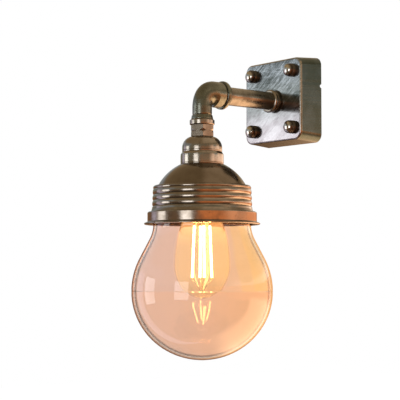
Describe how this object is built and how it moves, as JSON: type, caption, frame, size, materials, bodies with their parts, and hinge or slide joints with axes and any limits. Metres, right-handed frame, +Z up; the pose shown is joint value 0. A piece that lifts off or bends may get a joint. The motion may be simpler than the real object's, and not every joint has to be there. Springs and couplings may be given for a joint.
{
  "type": "wall light",
  "caption": "Industrial pipe wall light: square cast wall box, pipe arm and elbow, domed ribbed gallery, and a pear-shaped screw-in glass globe round a screw-in filament bulb.",
  "frame": {"origin": "on the wall, at the middle of the wall box, on the pipe arm's axis", "axes": "+Z up, +Y into the wall, +X to the right of someone facing the wall; the light stands out towards -Y"},
  "size_m": [0.1606, 0.2215, 0.3549],
  "materials": {
    "plate_metal": "hand-brushed cast metal, blotchy pewter patina",
    "pewter": "polished antique pewter patina over brass",
    "plain_steel": "zinc plated",
    "plain_brass": "bright brass",
    "porcelain": "glazed porcelain",
    "black_insulator": "black vitreous insulator",
    "globe_glass": "clear pressed glass, lit warm",
    "bulb_glass": "thin clear blown glass",
    "filament": "glowing filament",
    "lead_wire": "bare wire",
    "gasket_rubber": "matt black rubber",
    "block_plastic": "natural nylon",
    "live_insulation": "brown insulation",
    "neutral_insulation": "blue insulation",
    "earth_insulation": "green and yellow insulation"
  },
  "bodies": {
    "fixture": {"arm_backnut": "plain_steel", "arm_collar": "pewter", "arm_pipe": "pewter", "block_fixing_screw": "plain_steel", "block_inserts": "plain_brass", "block_terminal_screws": "plain_steel", "box_screws": "plain_steel", "cap_locknut": "plain_steel", "centre_contact": "plain_brass", "drop_collar": "pewter", "drop_nipple": "plain_steel", "earth_screw": "plain_steel", "earth_tag": "plain_brass", "earth_wire": "earth_insulation", "elbow": "pewter", "gallery": "pewter", "holder_body": "porcelain", "holder_cap": "pewter", "holder_ring": "pewter", "holder_rivets": "plain_brass", "holder_terminal_screws": "plain_steel", "holder_terminals": "plain_brass", "live_wire": "live_insulation", "lower_locknut": "pewter", "neutral_wire": "neutral_insulation", "screw_caps": "pewter", "screw_washers": "pewter", "shade_ring": "plain_steel", "socket_shell": "plain_brass", "terminal_block": "block_plastic", "upper_locknut": "pewter", "wall_bracket": "plain_steel", "wall_plate": "plate_metal"},
    "globe_seal": {"glass_gasket": "gasket_rubber"},
    "globe": {"glass_globe": "globe_glass"},
    "bulb_tip": {"bulb_contact": "plain_brass"},
    "bulb": {"bulb_glass": "bulb_glass", "bulb_cap": "plain_brass", "bulb_insulator": "black_insulator", "bulb_stem": "bulb_glass", "bulb_filaments": "filament", "bulb_leads": "lead_wire"}
  },
  "joints": [
    {"name": "globe_drop", "type": "slide", "parent": "fixture", "child": "globe_seal", "axis": [0, 0, -1], "range_m": [0, 0.01201]},
    {"name": "globe_turn", "type": "hinge", "parent": "globe_seal", "child": "globe", "pos_m": [0, -0.1412, -0.2258], "axis": [0, 0, -1], "range_deg": [0, 540]},
    {"name": "bulb_drop", "type": "slide", "parent": "fixture", "child": "bulb_tip", "axis": [0, 0, -1], "range_m": [0, 0.02361]},
    {"name": "bulb_turn", "type": "hinge", "parent": "bulb_tip", "child": "bulb", "pos_m": [0, -0.1412, -0.1973], "axis": [0, 0, -1], "range_deg": [0, 2340]}
  ],
  "couplings": [
    {"joint": "globe_drop", "follows": "globe_turn", "m_per_rad": 0.0012732},
    {"joint": "bulb_drop", "follows": "bulb_turn", "m_per_rad": 0.00057773}
  ]
}
